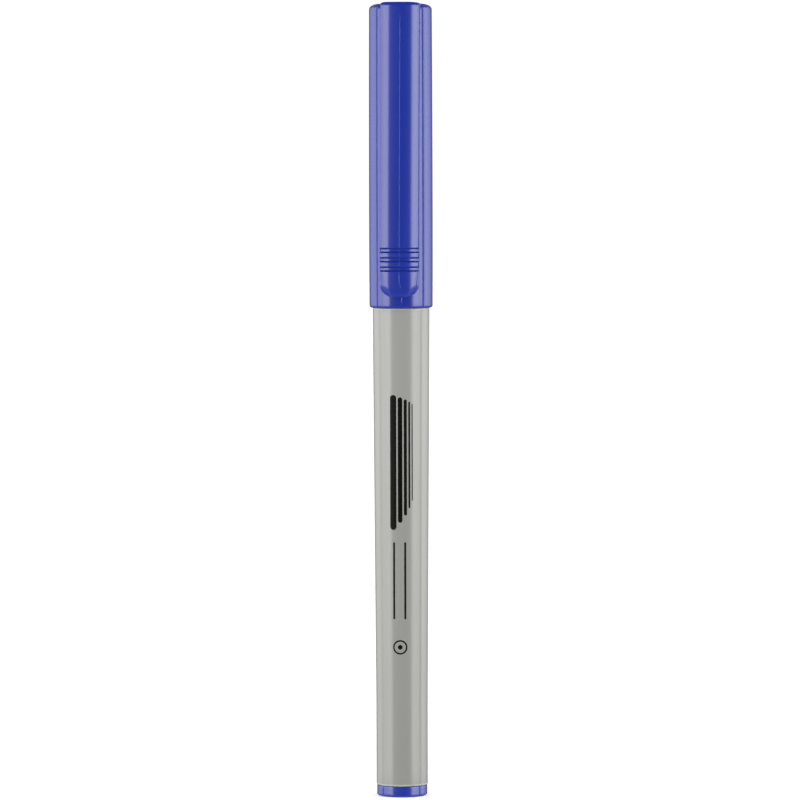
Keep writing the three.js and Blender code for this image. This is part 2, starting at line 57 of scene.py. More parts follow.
def heights(node):
    """The lowest and the highest z of a CAD node, in millimetres."""
    low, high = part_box(node)
    return round(low.z / MM, 3), round(high.z / MM, 3)


# Heights along the pen, in millimetres
PLUG_TOP_Z, GRIP_FRONT_Z = heights("barrel")
SHOULDER_Z, CLIP_TOP_Z = heights("cap_body")
INNER_CAP_MOUTH_Z, CAP_CEILING_Z = heights("inner_cap")
HOLDER_REAR_Z, HOLDER_FRONT_Z = heights("nib_holder")
SLEEVE_REAR_Z, SLEEVE_FRONT_Z = heights("nib_sleeve")
NIB_TAIL_Z, NIB_POINT_Z = heights("nib")
CLIP_TIP_Z = heights("pocket_clip")[0]
PLUG_STEM_Z = heights("end_plug")[1]
REAR_END_Z = PLUG_TOP_Z + 0.1
STRAIGHT_END_Z = PLUG_TOP_Z + 15
CAP_MOUTH_Z = SHOULDER_Z - 0.04
CAP_SEAT_Z = SHOULDER_Z + 0.02
NECK_BEAD_Z = SHOULDER_Z + 8
NECK_END_Z = SHOULDER_Z + 12.5
CAP_BELLY_Z = SHOULDER_Z + 18
SOCKET_FLOOR_Z = GRIP_FRONT_Z - 14.5
CONE_START_Z = GRIP_FRONT_Z + 2.5
CONE_END_Z = CONE_START_Z + 4.1
CAP_TOP_Z = CLIP_TOP_Z - 0.25

# Radii, in millimetres
PLUG_RADIUS = 4.5
PLUG_STEM_RADIUS = 3.3
REAR_RADIUS = 4.6
SHOULDER_RADIUS = 5.08
NECK_RADIUS = 4.455
GRIP_REAR_RADIUS = 4.15
GRIP_FRONT_RADIUS = 3.65
BORE_REAR_RADIUS = 3.65
BORE_FRONT_RADIUS = 3.4
SOCKET_RADIUS = 2.65
HOLDER_COLLAR_RADIUS = 3.0
HOLDER_STEM_RADIUS = 2.6
HOLDER_CONE_RADIUS = 2.4
HOLDER_BORE_RADIUS = 1.8
HOLDER_TIP_RADIUS = 1.0
HOLDER_TIP_BORE_RADIUS = 0.66
SLEEVE_RADIUS = 0.62
SLEEVE_BORE_RADIUS = 0.48
SLEEVE_MOUTH_RADIUS = 0.24
NIB_RADIUS = 0.44
NIB_POINT_RADIUS = 0.2
LINER_RADIUS = 4.0
LINER_CHAMBER_RADIUS = 3.2
LINER_SEAL_RADIUS = 3.05
CAP_SEAT_RADIUS = 4.535
CAP_BORE_RADIUS = 4.35
CAP_BELLY_RADIUS = 5.6845
CAP_TOP_RADIUS = 5.6
CAP_MOUTH_RADIUS = 5.65
CAP_LIP_RADIUS = 5.1

# Rounds in millimetres: one number where a round is as wide as it is high, else its width and its height
PLUG_ROUND = (0.75, 0.43)
PLUG_RIM_ROUND = 0.12
REAR_ROUND = 0.25
SHOULDER_ROUND = 0.2
GRIP_ROUND = 0.35
COLLAR_ROUND = 0.35
CAP_MOUTH_ROUND = (0.545, 0.44)
CAP_TOP_ROUND = (1.85, 1.02)

# Faces that would lie in one plane stand this far apart, in millimetres
HAIR = 0.01

# Clip, in millimetres
CLIP_HALF_WIDTH = 3.55
CLIP_FACE_RADIUS = 5.6
CLIP_AXIS_Y = -1.785
CLIP_THICKNESS = 1.0
CLIP_LEAN = -0.3
CLIP_ROOT_Z = CLIP_TOP_Z - 6
CLIP_ROOT_BACK_Y = -3.6
CLIP_TOP_ROUND = 0.75
TOP_LEFT_CORNER = (1.2, 0.33)
TOP_RIGHT_CORNER = (2.3, 0.38)
TIP_CORNER_WIDTH = 2.8
TIP_CORNER_HEIGHT = 2.4
TIP_ROLL_LENGTH = 1.95
TIP_ROLL_DEPTH = 0.75
SIDE_ROLL_LENGTH = 1.25
SIDE_ROLL_DEPTH = 0.42
EDGE_BEVEL = 0.28
EDGE_BEVEL_SLOPE = 0.17
EDGE_ROUND = 0.08
GROOVE_FROM_TIP = 5.08
GROOVE_PITCH = 1.655
GROOVE_HEIGHTS = [CLIP_TIP_Z + GROOVE_FROM_TIP + GROOVE_PITCH * i for i in range(3)]
GROOVE_FLOOR = 0.18
GROOVE_REACH = 0.5
GROOVE_DEPTH = 0.4

# Parting lines, in millimetres: their height and their spread
CLIP_LINE = 0.021
CLIP_LINE_SPREAD = 0.021
TUBE_LINE = 0.045
TUBE_LINE_SPREAD = 0.042

FRONT = -math.pi / 2
BACK = math.pi / 2


# Mesh building


def add_piece(name, points, faces, material, crease=32):
    """One mesh object from points in millimetres; edges sharper than crease degrees stay sharp."""
    mesh = bpy.data.meshes.new(name)
    mesh.from_pydata((np.asarray(points, float) * MM).tolist(), [], faces)
    mesh.validate()
    mesh.shade_smooth()
    mesh.set_sharp_from_angle(angle=math.radians(crease))
    piece = bpy.data.objects.new(name, mesh)
    bpy.context.scene.collection.objects.link(piece)
    mesh.materials.append(material)
    return piece


def arc(centre_r, centre_z, width, height, start, end, steps=10):
    """Points of an elliptical arc in radius and height, angles in degrees."""
    turns = np.radians(np.linspace(start, end, steps + 1))
    return [(centre_r + width * math.cos(t), centre_z + height * math.sin(t)) for t in turns]


def lower_round(radius, z, width, height=None, steps=10):
    """The round at a piece's lower edge, from its end face up to its side."""
    height = height or width
    return arc(radius - width, z + height, width, height, -90, 0, steps)


def upper_round(radius, z, width, height=None, steps=10):
    """The round at a piece's upper edge, from its side up to its end face."""
    height = height or width
    return arc(radius - width, z - height, width, height, 0, 90, steps)


def run(start, end, steps):
    """Evenly spaced points between two profile points, both left out."""
    start, end = np.array(start), np.array(end)
    return [tuple(start + (end - start) * i / steps) for i in range(1, steps)]


def turning_angles(sides, fine_at=(), fine_reach=0.05, fine_steps=24):
    """Angles round the axis, closer together near the angles in fine_at."""
    turns = list(np.linspace(-math.pi, math.pi, sides, endpoint=False))
    for middle in fine_at:
        turns = [t for t in turns if abs(t - middle) > fine_reach]
        turns += list(np.linspace(middle - fine_reach, middle + fine_reach, fine_steps + 1))
    return sorted(turns)


def turn_profile(profile, turns, relief=None):
    """Points and faces of a profile turned round the axis. Its outside runs up and its inside down."""
    points, faces, rings = [], [], []
    for radius, z in profile:
        if radius < 1e-6:
            rings.append([len(points)])
            points.append((0.0, 0.0, z))
            continue
        rings.append(list(range(len(points), len(points) + len(turns))))
        for t in turns:
            r = radius + (relief(radius, z, t) if relief else 0.0)
            points.append((r * math.cos(t), r * math.sin(t), z))
    closed = len(rings[0]) > 1 and len(rings[-1]) > 1
    pairs = list(zip(rings, rings[1:])) + ([(rings[-1], rings[0])] if closed else [])
    count = len(turns)
    for low, high in pairs:
        for j in range(count):
            k = (j + 1) % count
            if len(low) == 1 and len(high) == 1:
                break
            if len(low) == 1:
                faces.append((low[0], high[k], high[j]))
            elif len(high) == 1:
                faces.append((low[j], low[k], high[0]))
            else:
                faces.append((low[j], low[k], high[k], high[j]))
    return points, faces


def turned(name, profile, material, sides=160, fine_at=(), relief=None, crease=32):
    points, faces = turn_profile(profile, turning_angles(sides, fine_at), relief)
    return add_piece(name, points, faces, material, crease)


def ridge(distance, height, spread):
    """A fine raised line, such as a mould's parting line leaves."""
    return height * math.exp(-0.5 * (distance / spread) ** 2)


def smooth(value, low, high):
    """0 below low, 1 above high, and an even turn between them."""
    t = min(max((value - low) / (high - low), 0.0), 1.0)
    return t * t * (3 - 2 * t)


def ride(piece, body, slot, *nodes):
    """Puts a piece on a body, in place of the CAD nodes that are named. The slot argument is not used."""
    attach(piece, body)
    if nodes:
        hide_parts(*nodes)
    return piece


# Materials


class Graph:
    """Short calls for the nodes that the finishes and the studio share."""

    def __init__(self, tree):
        self.tree = tree

    def add(self, kind, **values):
        node = self.tree.nodes.new(kind)
        for key, value in values.items():
            setattr(node, key, value)
        return node

    def feed(self, socket, value):
        """Sets a socket to a plain value, or links another node's socket to it."""
        if isinstance(value, bpy.types.NodeSocket):
            self.tree.links.new(value, socket)
        else:
            socket.default_value = value

    def math(self, operation, *values):
        node = self.add("ShaderNodeMath", operation=operation)
        for socket, value in zip(node.inputs, values):
            self.feed(socket, value)
        return node.outputs[0]

    def mix(self, factor, first, second):
        node = self.add("ShaderNodeMix", data_type="RGBA")
        for name, value in (("Factor", factor), ("A", first), ("B", second)):
            self.feed(node.inputs[name], (*value, 1) if isinstance(value, tuple) else value)
        return node.outputs["Result"]

    def span(self, source, low, high, from_low=0.3, from_high=0.7):
        """Maps a source onto low to high. Most of a noise lies from 0.3 to 0.7."""
        node = self.add("ShaderNodeMapRange")
        for name, value in (("Value", source), ("From Min", from_low), ("From Max", from_high),
                            ("To Min", low), ("To Max", high)):
            self.feed(node.inputs[name], value)
        return node.outputs["Result"]

    def ramp(self, source, stops):
        """Grey levels at places from 0 to 1, with straight runs between them."""
        node = self.add("ShaderNodeValToRGB")
        elements = node.color_ramp.elements
        while len(elements) < len(stops):
            elements.new(0.5)
        for element, (place, level) in zip(elements, stops):
            element.position = place
            element.color = (level, level, level, 1)
        self.feed(node.inputs["Fac"], source)
        return node.outputs["Color"]


class Finish(Graph):
    """A material on the pen's own coordinates."""

    def __init__(self, name):
        self.material = bpy.data.materials.new(name)
        self.material.use_nodes = True
        super().__init__(self.material.node_tree)
        self.shader = self.tree.nodes["Principled BSDF"]
        self.place = self.add("ShaderNodeTexCoord").outputs["Object"]

    def noise(self, scale, detail=3.0, stretch=(1, 1, 1), roughness=0.5):
        mapping = self.add("ShaderNodeMapping")
        self.feed(mapping.inputs["Scale"], stretch)
        self.feed(mapping.inputs["Vector"], self.place)
        node = self.add("ShaderNodeTexNoise")
        for name, value in (("Vector", mapping.outputs["Vector"]), ("Scale", scale),
                            ("Detail", detail), ("Roughness", roughness)):
            self.feed(node.inputs[name], value)
        return node.outputs["Fac"]

    def height(self):
        split = self.add("ShaderNodeSeparateXYZ")
        self.feed(split.inputs[0], self.place)
        return split.outputs["Z"]

    def band(self, low, high, soft):
        """1 between two heights in millimetres, fading to 0 over a soft length past each."""
        rise = self.span(self.height(), 0, 1, (low - soft) * MM, low * MM)
        fall = self.span(self.height(), 1, 0, high * MM, (high + soft) * MM)
        return self.math("MULTIPLY", rise, fall)

    def flat_end(self):
        """1 on the flat ends of the pen, which the mould leaves satin, and 0 on its rounds and sides."""
        split = self.add("ShaderNodeSeparateXYZ")
        self.feed(split.inputs[0], self.place)
        x, y, z = split.outputs
        flat_radius, skin = 3.7, 0.02
        squares = self.math("ADD", self.math("MULTIPLY", x, x), self.math("MULTIPLY", y, y))
        centred = self.math("LESS_THAN", self.math("SQRT", squares), flat_radius * MM)
        top = self.math("GREATER_THAN", z, (CAP_TOP_Z - skin) * MM)
        bottom = self.math("LESS_THAN", z, skin * MM)
        return self.math("MULTIPLY", centred, self.math("ADD", top, bottom))

    def bumps(self, *layers):
        """Layers of (height source, depth in metres, strength), finest last."""
        below = None
        for source, depth, strength in layers:
            node = self.add("ShaderNodeBump")
            self.feed(node.inputs["Strength"], strength)
            self.feed(node.inputs["Distance"], depth)
            self.feed(node.inputs["Height"], source)
            if below:
                self.feed(node.inputs["Normal"], below)
            below = node.outputs["Normal"]
        self.feed(self.shader.inputs["Normal"], below)

    def set(self, **sockets):
        for key, value in sockets.items():
            self.feed(self.shader.inputs[key.replace("_", " ")], value)


def shade(colour, factor):
    return tuple(factor * part for part in colour)


def gloss_blue(name, first, second, roughness, ior=1.5):
    """Opaque moulded plastic: faint flow marks, a finely rubbed gloss and satin flat ends."""
    satin = 0.38
    m = Finish(name)
    cloud = m.noise(140, 4, (1, 1, 0.35))
    flow = m.noise(900, 2, (1, 1, 0.04))
    rubbed = m.noise(2600, 5, (1, 1, 0.12), 0.65)
    m.set(Base_Color=m.mix(m.span(cloud, 0, 1), first, second), IOR=ior)
    polish = m.span(m.math("MULTIPLY", rubbed, cloud), roughness * 0.8, roughness * 1.35, 0.15, 0.4)
    m.set(Roughness=m.math("MAXIMUM", polish, m.math("MULTIPLY", m.flat_end(), satin)))
    waves, grain = m.noise(420, 3), m.noise(9000, 2)
    m.bumps((flow, 0.00004, 0.06), (waves, 0.00008, 0.05), (grain, 0.000006, 0.12))
    return m.material


def satin_grey(name, first, second, roughness):
    """Satin moulded plastic, with painted shade that darkens it towards the rear and a painted highlight
    broken up by noise along its two rims, with a fine spark-eroded grain and faint lengthwise drawing
    marks."""
    painted_shade_at_rear, rim_highlight_gain = 0.94, 1.8
    painted_shade_reach = 0.065
    m = Finish(name)
    cloud = m.noise(90, 4, (1, 1, 0.3))
    grain = m.noise(11000, 3, (1, 1, 1), 0.6)
    drawn = m.noise(2400, 3, (1, 1, 0.015))
    fore = m.mix(m.span(cloud, 0, 1), first, second)
    # Painted shade: the colour darkens towards the rear end of the barrel
    colour = m.mix(m.span(m.height(), 0, 1, 0.0, painted_shade_reach), shade(first, painted_shade_at_rear), fore)
    # Painted highlight: pale lines at the shoulder and the rear rim, broken up by noise
    shoulder_rim = m.band(SHOULDER_Z - 0.22, SHOULDER_Z + 0.02, 0.06)
    rear_rim = m.band(REAR_END_Z, REAR_END_Z + 0.3, 0.08)
    rims = m.math("ADD", shoulder_rim, m.math("MULTIPLY", rear_rim, 0.6))
    rim_highlight_mask = m.math("MULTIPLY", rims, m.span(m.noise(700, 3), 0.45, 1.0))
    m.set(Base_Color=m.mix(rim_highlight_mask, colour, shade(second, rim_highlight_gain)), IOR=1.46)
    texture = m.math("ADD", m.math("MULTIPLY", grain, 0.5), m.math("MULTIPLY", drawn, 0.5))
    m.set(Roughness=m.span(texture, roughness * 0.88, roughness * 1.14, 0.35, 0.65))
    m.bumps((drawn, 0.00001, 0.08), (grain, 0.000006, 0.12))
    return m.material


def printed_ink(name):
    """Pad-printed ink: nearly black, with the grain of the plastic under it showing in its gloss."""
    m = Finish(name)
    fleck = m.noise(7000, 3, (1, 1, 1), 0.6)
    m.set(Base_Color=m.mix(m.span(fleck, 0, 1), (0.0022, 0.002, 0.0016), (0.006, 0.0055, 0.0045)))
    m.set(Roughness=m.span(m.noise(11000, 3), 0.34, 0.5), Specular_IOR_Level=0.12)
    m.bumps((fleck, 0.000006, 0.25))
    return m.material


def drawn_steel(name):
    """Thin drawn tube: bright steel with fine rings from turning and a little smudging."""
    m = Finish(name)
    rings = m.noise(6000, 2, (0.05, 0.05, 1))
    smudge = m.noise(1500, 3)
    m.set(Base_Color=m.mix(m.span(smudge, 0, 1), (0.62, 0.63, 0.65), (0.74, 0.75, 0.76)))
    m.set(Roughness=m.span(rings, 0.16, 0.32), Metallic=1.0)
    m.bumps((rings, 0.000006, 0.3))
    return m.material


def soft_moulding(name, first, second, roughness, grain_scale=5000):
    """Softer or duller mouldings: a mottled colour, an even low sheen and a light grain."""
    m = Finish(name)
    mottle = m.noise(500, 4)
    grain = m.noise(grain_scale, 3)
    m.set(Base_Color=m.mix(m.span(mottle, 0, 1), first, second))
    m.set(Roughness=m.span(grain, roughness * 0.85, roughness * 1.15))
    m.bumps((mottle, 0.00003, 0.1), (grain, 0.00001, 0.2))
    return m.material


def fibre_roll(name):
    """Ink-soaked fibre: fine lengthwise strands."""
    m = Finish(name)
    strands = m.noise(9000, 4, (1, 1, 0.02), 0.7)
    m.set(Base_Color=m.mix(m.span(strands, 0, 1), (0.008, 0.018, 0.12), (0.03, 0.06, 0.26)))
    m.set(Roughness=m.span(strands, 0.75, 0.95))
    m.bumps((strands, 0.00005, 0.6))
    return m.material


cap_blue = gloss_blue("cap_blue", (0.0113, 0.0285, 0.291), (0.0142, 0.034, 0.318), 0.075)
plug_blue = gloss_blue("plug_blue", (0.0135, 0.0345, 0.305), (0.017, 0.04, 0.335), 0.1, 1.54)
barrel_grey = satin_grey("barrel_grey", (0.312, 0.311, 0.291), (0.336, 0.335, 0.315), 0.19)
holder_grey = soft_moulding("holder_grey", (0.30, 0.30, 0.28), (0.36, 0.36, 0.34), 0.42)
nib_blue = soft_moulding("nib_blue", (0.010, 0.020, 0.16), (0.022, 0.045, 0.27), 0.55, 12000)
milky_liner = soft_moulding("milky_liner", (0.74, 0.76, 0.77), (0.80, 0.82, 0.82), 0.48)
steel = drawn_steel("steel")
black_ink = printed_ink("black_ink")
fibre_blue = fibre_roll("fibre_blue")
clear_film = soft_moulding("clear_film", (0.70, 0.72, 0.78), (0.78, 0.80, 0.84), 0.22)


# Barrel and end plug


def barrel_profile():
    rear = (REAR_RADIUS, STRAIGHT_END_Z)
    front = (SHOULDER_RADIUS, SHOULDER_Z - SHOULDER_ROUND)
    bead_height, bead_spread, bead_reach = 0.04, 0.35, 1.2
    bead = [(NECK_RADIUS + ridge(z - NECK_BEAD_Z, bead_height, bead_spread), z)
            for z in np.linspace(NECK_BEAD_Z - bead_reach, NECK_BEAD_Z + bead_reach, 17)]
    neck_foot, neck_chamfer = 0.06, 0.3
    grip_rear = (GRIP_REAR_RADIUS, NECK_END_Z)
    grip_front = (GRIP_FRONT_RADIUS, GRIP_FRONT_Z - GRIP_ROUND)
    return [
        (BORE_REAR_RADIUS, REAR_END_Z),
        *lower_round(REAR_RADIUS, REAR_END_Z, REAR_ROUND),
        *run((REAR_RADIUS, REAR_END_Z + REAR_ROUND), rear, 6),
        rear,
        *run(rear, front, 40),
        *upper_round(SHOULDER_RADIUS, SHOULDER_Z, SHOULDER_ROUND),
        (NECK_RADIUS + neck_foot, SHOULDER_Z),
        (NECK_RADIUS, SHOULDER_Z + neck_foot),
        *bead,
        *upper_round(NECK_RADIUS, NECK_END_Z, NECK_RADIUS - GRIP_REAR_RADIUS, neck_chamfer, 6),
        *run(grip_rear, grip_front, 10),
        *upper_round(GRIP_FRONT_RADIUS, GRIP_FRONT_Z, GRIP_ROUND),
        (SOCKET_RADIUS, GRIP_FRONT_Z),
        (SOCKET_RADIUS, SOCKET_FLOOR_Z),
        (BORE_FRONT_RADIUS, SOCKET_FLOOR_Z),
    ]


def shoulder_mark(radius, z, turn):
    """A fine line runs round the barrel just below its shoulder, a little unevenly."""
    skin_radius = 4.9
    if radius < skin_radius:
        return 0.0
    below, height, spread = 0.3, 0.012, 0.06
    wander = 0.04 * math.sin(3 * turn + 0.6) + 0.02 * math.sin(7 * turn)
    return ridge(z - SHOULDER_Z + below - wander, height, spread)


def plug_profile():
    head_z = REAR_END_Z - 2 * HAIR
    return [
        (0.0, 0.0),
        *lower_round(PLUG_RADIUS, 0.0, *PLUG_ROUND, 16),
        *run((PLUG_RADIUS, PLUG_ROUND[1]), (PLUG_RADIUS, head_z - PLUG_RIM_ROUND), 5),
        *upper_round(PLUG_RADIUS, head_z, PLUG_RIM_ROUND, steps=6),
        (PLUG_STEM_RADIUS, head_z),
        (PLUG_STEM_RADIUS, PLUG_STEM_Z),
        (0.0, PLUG_STEM_Z),
    ]


barrel = turned("barrel_shell", barrel_profile(), barrel_grey, sides=192, relief=shoulder_mark)
ride(barrel, "pen", "barrel_plastic", "barrel")
plug = turned("end_plug_moulding", plug_profile(), plug_blue)
ride(plug, "pen", "plug_plastic", "end_plug")


# Nose and nib


def holder_profile():
    foot, tip_round = 0.08, 0.12
    return [
        (HOLDER_BORE_RADIUS, HOLDER_REAR_Z),
        (HOLDER_STEM_RADIUS, HOLDER_REAR_Z),
        (HOLDER_STEM_RADIUS, GRIP_FRONT_Z),
        *lower_round(HOLDER_COLLAR_RADIUS, GRIP_FRONT_Z + HAIR, foot, steps=4),
        *upper_round(HOLDER_COLLAR_RADIUS, CONE_START_Z, COLLAR_ROUND),
        *arc(HOLDER_CONE_RADIUS + foot, CONE_START_Z + foot, foot, foot, 270, 180, 4),
        *run((HOLDER_CONE_RADIUS, CONE_START_Z + foot), (HOLDER_TIP_RADIUS, CONE_END_Z), 10),
        (HOLDER_TIP_RADIUS, CONE_END_Z),
        *upper_round(HOLDER_TIP_RADIUS, HOLDER_FRONT_Z, tip_round, steps=5),
        (HOLDER_TIP_BORE_RADIUS, HOLDER_FRONT_Z),
        (HOLDER_TIP_BORE_RADIUS, SLEEVE_REAR_Z),
        (HOLDER_BORE_RADIUS, SLEEVE_REAR_Z),
    ]


def sleeve_profile():
    cone_z = SLEEVE_FRONT_Z - 0.7
    bend_width, bend_height = 0.1, 0.2
    bend_z = cone_z - 0.1
    rim_radius, rim_width, rim_height = 0.4, 0.03, 0.04
    rim_z = SLEEVE_FRONT_Z - rim_height
    return [
        (SLEEVE_BORE_RADIUS, SLEEVE_REAR_Z),
        (SLEEVE_RADIUS, SLEEVE_REAR_Z),
        *run((SLEEVE_RADIUS, SLEEVE_REAR_Z), (SLEEVE_RADIUS, bend_z), 4),
        *arc(SLEEVE_RADIUS - bend_width, bend_z, bend_width, bend_height, 0, 25, 4),
        (rim_radius, rim_z),
        *arc(rim_radius - rim_height, rim_z, rim_width, rim_height, 20, 90, 4),
        (SLEEVE_MOUTH_RADIUS, SLEEVE_FRONT_Z),
        (SLEEVE_BORE_RADIUS, cone_z),
    ]


def nib_profile():
    cone_length = 0.8
    return [
        (0.0, NIB_TAIL_Z),
        (NIB_RADIUS, NIB_TAIL_Z),
        (NIB_RADIUS, SLEEVE_FRONT_Z - cone_length),
        (NIB_POINT_RADIUS, SLEEVE_FRONT_Z),
        *upper_round(NIB_POINT_RADIUS, NIB_POINT_Z, NIB_POINT_RADIUS, steps=12),
    ]


holder = turned("nose_cone", holder_profile(), holder_grey, sides=128)
ride(holder, "pen", "holder_plastic", "nib_holder")
sleeve = turned("metal_sleeve", sleeve_profile(), steel, sides=72)
ride(sleeve, "pen", "sleeve_metal", "nib_sleeve")
point = turned("nib_point", nib_profile(), nib_blue, sides=48)
ride(point, "pen", "nib_plastic", "nib")

for node, finish in (("ink_reservoir", fibre_blue), ("reservoir_film", clear_film)):
    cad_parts[node].data.materials.clear()
    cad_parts[node].data.materials.append(finish)


# Cap and its liner


def cap_radius(z):
    """The cap swells gently from its top and its mouth to a belly between them."""
    end_radius, end_z = (CAP_TOP_RADIUS, CAP_TOP_Z) if z > CAP_BELLY_Z else (CAP_MOUTH_RADIUS, SHOULDER_Z)
    from_belly = (z - CAP_BELLY_Z) / (end_z - CAP_BELLY_Z)
    return CAP_BELLY_RADIUS - (CAP_BELLY_RADIUS - end_radius) * from_belly**2


def cap_profile():
    low, high = CAP_MOUTH_Z + CAP_MOUTH_ROUND[1], CAP_TOP_Z - CAP_TOP_ROUND[1]
    seat_end = NECK_END_Z + 0.3
    lead_in = 0.12
    return [
        (0.0, CAP_CEILING_Z),
        (CAP_BORE_RADIUS, CAP_CEILING_Z),
        (CAP_BORE_RADIUS, seat_end + CAP_SEAT_RADIUS - CAP_BORE_RADIUS),
        (CAP_SEAT_RADIUS, seat_end),
        (CAP_SEAT_RADIUS, CAP_SEAT_Z + lead_in),
        (CAP_SEAT_RADIUS + lead_in, CAP_SEAT_Z),
        (CAP_LIP_RADIUS, CAP_SEAT_Z),
        *lower_round(cap_radius(low), CAP_MOUTH_Z, *CAP_MOUTH_ROUND, 14),
        *[(cap_radius(z), z) for z in np.linspace(low, high, 61)[1:-1]],
        *upper_round(cap_radius(high), CAP_TOP_Z, *CAP_TOP_ROUND, 18),
        (0.0, CAP_TOP_Z),
    ]


def cap_parting(radius, z, turn):
    """Parting lines down the front and back of the tube, which fade out at its rounds.
    The skin at the back lies lower by its line's height, so the cap stays in its size."""
    skin_radius = 5.2
    if radius < skin_radius:
        return 0.0
    off_centre = 0.02
    past_mouth = smooth(z, SHOULDER_Z + 0.25, SHOULDER_Z + 0.7)
    below_top = 1 - smooth(z, CAP_TOP_Z - 2.1, CAP_TOP_Z - 1.2)
    front = ridge((turn - FRONT - off_centre) * radius, TUBE_LINE, TUBE_LINE_SPREAD)
    back = ridge((turn - BACK) * radius, CLIP_LINE, TUBE_LINE_SPREAD)
    near_back = max(math.sin(turn), 0.0) ** 8
    return (front + back) * past_mouth * below_top - CLIP_LINE * near_back


cap = turned("cap_tube", cap_profile(), cap_blue, sides=224, fine_at=(FRONT, BACK), relief=cap_parting)
ride(cap, "cap", "cap_plastic", "cap_body")


def liner_profile():
    ceiling = CAP_CEILING_Z - HAIR
    chamber_end = CAP_CEILING_Z - 1.0
    seal_end = INNER_CAP_MOUTH_Z + 2
    mouth_round, chamber_round, lead_in = 0.15, 0.4, 0.1
    return [
        (LINER_SEAL_RADIUS, INNER_CAP_MOUTH_Z + lead_in),
        *lower_round(LINER_RADIUS, INNER_CAP_MOUTH_Z, mouth_round, steps=4),
        (LINER_RADIUS, ceiling),
        (0.0, ceiling),
        (0.0, chamber_end),
        *arc(LINER_CHAMBER_RADIUS - chamber_round, chamber_end - chamber_round,
             chamber_round, chamber_round, 90, 0, 6),
        (LINER_CHAMBER_RADIUS, seal_end + LINER_CHAMBER_RADIUS - LINER_SEAL_RADIUS),
        (LINER_SEAL_RADIUS, seal_end),
    ]


def liner_ribs(radius, z, turn):
    """Six ribs hold the liner in the bore."""
    skin_radius = 3.9
    if radius < skin_radius:
        return 0.0
    pitch = math.pi / 3
    nearest = (turn + pitch / 2) % pitch - pitch / 2
    height, flat, reach = 0.3, 0.32, 0.42
    return height * (1 - smooth(abs(nearest) * radius, flat, reach))


liner = turned("cap_liner", liner_profile(), milky_liner, sides=288, relief=liner_ribs, crease=40)
ride(liner, "cap", "liner_plastic", "inner_cap")


# Pocket clip


def clip_edge(z, side):
    """Half the band's width: rounded corners at the top and the tip.
    The top's right corner runs out longer than its left one."""
    width, height = TOP_RIGHT_CORNER if side > 0 else TOP_LEFT_CORNER
    if z > CLIP_TOP_Z - height:
        rise = min((z - CLIP_TOP_Z + height) / height, 1.0)
        return CLIP_HALF_WIDTH - width * (1 - math.sqrt(1 - rise * rise))
    fall = min(max((CLIP_TIP_Z + TIP_CORNER_HEIGHT - z) / TIP_CORNER_HEIGHT, 0.0), 1.0)
    return CLIP_HALF_WIDTH - TIP_CORNER_WIDTH * (1 - math.sqrt(1 - fall * fall))


def from_outline(reach, z):
    """How far inside the outline a point lies, reach to one side of the band's middle,
    and where it lies round the outline: 0 at a side, 1 at the tip."""
    across = max((reach - CLIP_HALF_WIDTH) / TIP_CORNER_WIDTH + 1, 0.0)
    down = max(1 - (z - CLIP_TIP_Z) / TIP_CORNER_HEIGHT, 0.0)
    out = math.hypot(across, down)
    if out < 1e-6:
        return CLIP_HALF_WIDTH, 0.0
    ray = out / math.hypot(across / TIP_CORNER_WIDTH, down / TIP_CORNER_HEIGHT)
    return (1 - out) * ray, (down / out) ** 2


def groove(z):
    """1 on a groove's floor, 0 on the face."""
    return max(1 - smooth(abs(z - middle), GROOVE_FLOOR, GROOVE_REACH) for middle in GROOVE_HEIGHTS)


def edge_drop(distance, radius):
    """How far a rounded edge falls away at a distance inside it."""
    reach = min(max(radius - distance, 0.0), radius)
    return radius - math.sqrt(radius * radius - reach * reach)


def tip_roll(inside, turn, z):
    """The tongue's end rolls off to its outline, most at the tip and less along its sides."""
    near_tip = 1 - smooth(z, CLIP_TIP_Z + 2.2, CLIP_TIP_Z + 5.8)
    narrowest = 0.57
    side_length = SIDE_ROLL_LENGTH * (narrowest + (1 - narrowest) * near_tip)
    side_depth = SIDE_ROLL_DEPTH * near_tip
    to_tip = turn**0.7
    length = side_length + (TIP_ROLL_LENGTH - side_length) * to_tip
    depth = side_depth + (TIP_ROLL_DEPTH - side_depth) * to_tip
    fall = min(max((length - inside) / length, 0.0), 1.0)
    return depth * (1 - math.sqrt(1 - fall * fall))


def parting_x(z, half):
    """The clip's parting line keeps a little to the left, and hooks to the right where the tip rolls."""
    to_left, to_right = 0.08, 0.25
    hook = to_right * (1 - smooth(z, CLIP_TIP_Z + 1.8, CLIP_TIP_Z + 2.8))
    return min(max(hook - to_left, -0.3 * half), 0.3 * half)


def clip_front(x, line_x, z, half):
    """Distance from the clip's own axis to its face, at x from the band's middle."""
    inside, turn = from_outline(abs(x), z)
    inside = min(inside, half - abs(x))
    radius = CLIP_FACE_RADIUS - CLIP_LINE - GROOVE_DEPTH * groove(z) - tip_roll(inside, turn, z)
    past_tip = smooth(z, CLIP_TIP_Z + 1.5, CLIP_TIP_Z + 1.9)
    below_top = 1 - smooth(z, CLIP_TOP_Z - 2.4, CLIP_TOP_Z - 1.6)
    wear = 1 - 0.3 * smooth(z, CLIP_TIP_Z + 3.8, CLIP_TIP_Z + 4.6)
    radius += ridge(x - line_x, CLIP_LINE * wear, CLIP_LINE_SPREAD * wear) * (past_tip * below_top)
    radius -= 0.8 * edge_drop(CLIP_TOP_Z - z, CLIP_TOP_ROUND)
    return radius - EDGE_BEVEL_SLOPE * max(EDGE_BEVEL - inside, 0.0) - edge_drop(inside, EDGE_ROUND)


def clip_lean(z):
    """The tongue stands a hair out of line, to the left at its tip."""
    return CLIP_LEAN * (CLIP_TOP_Z - z) / (CLIP_TOP_Z - CLIP_TIP_Z)


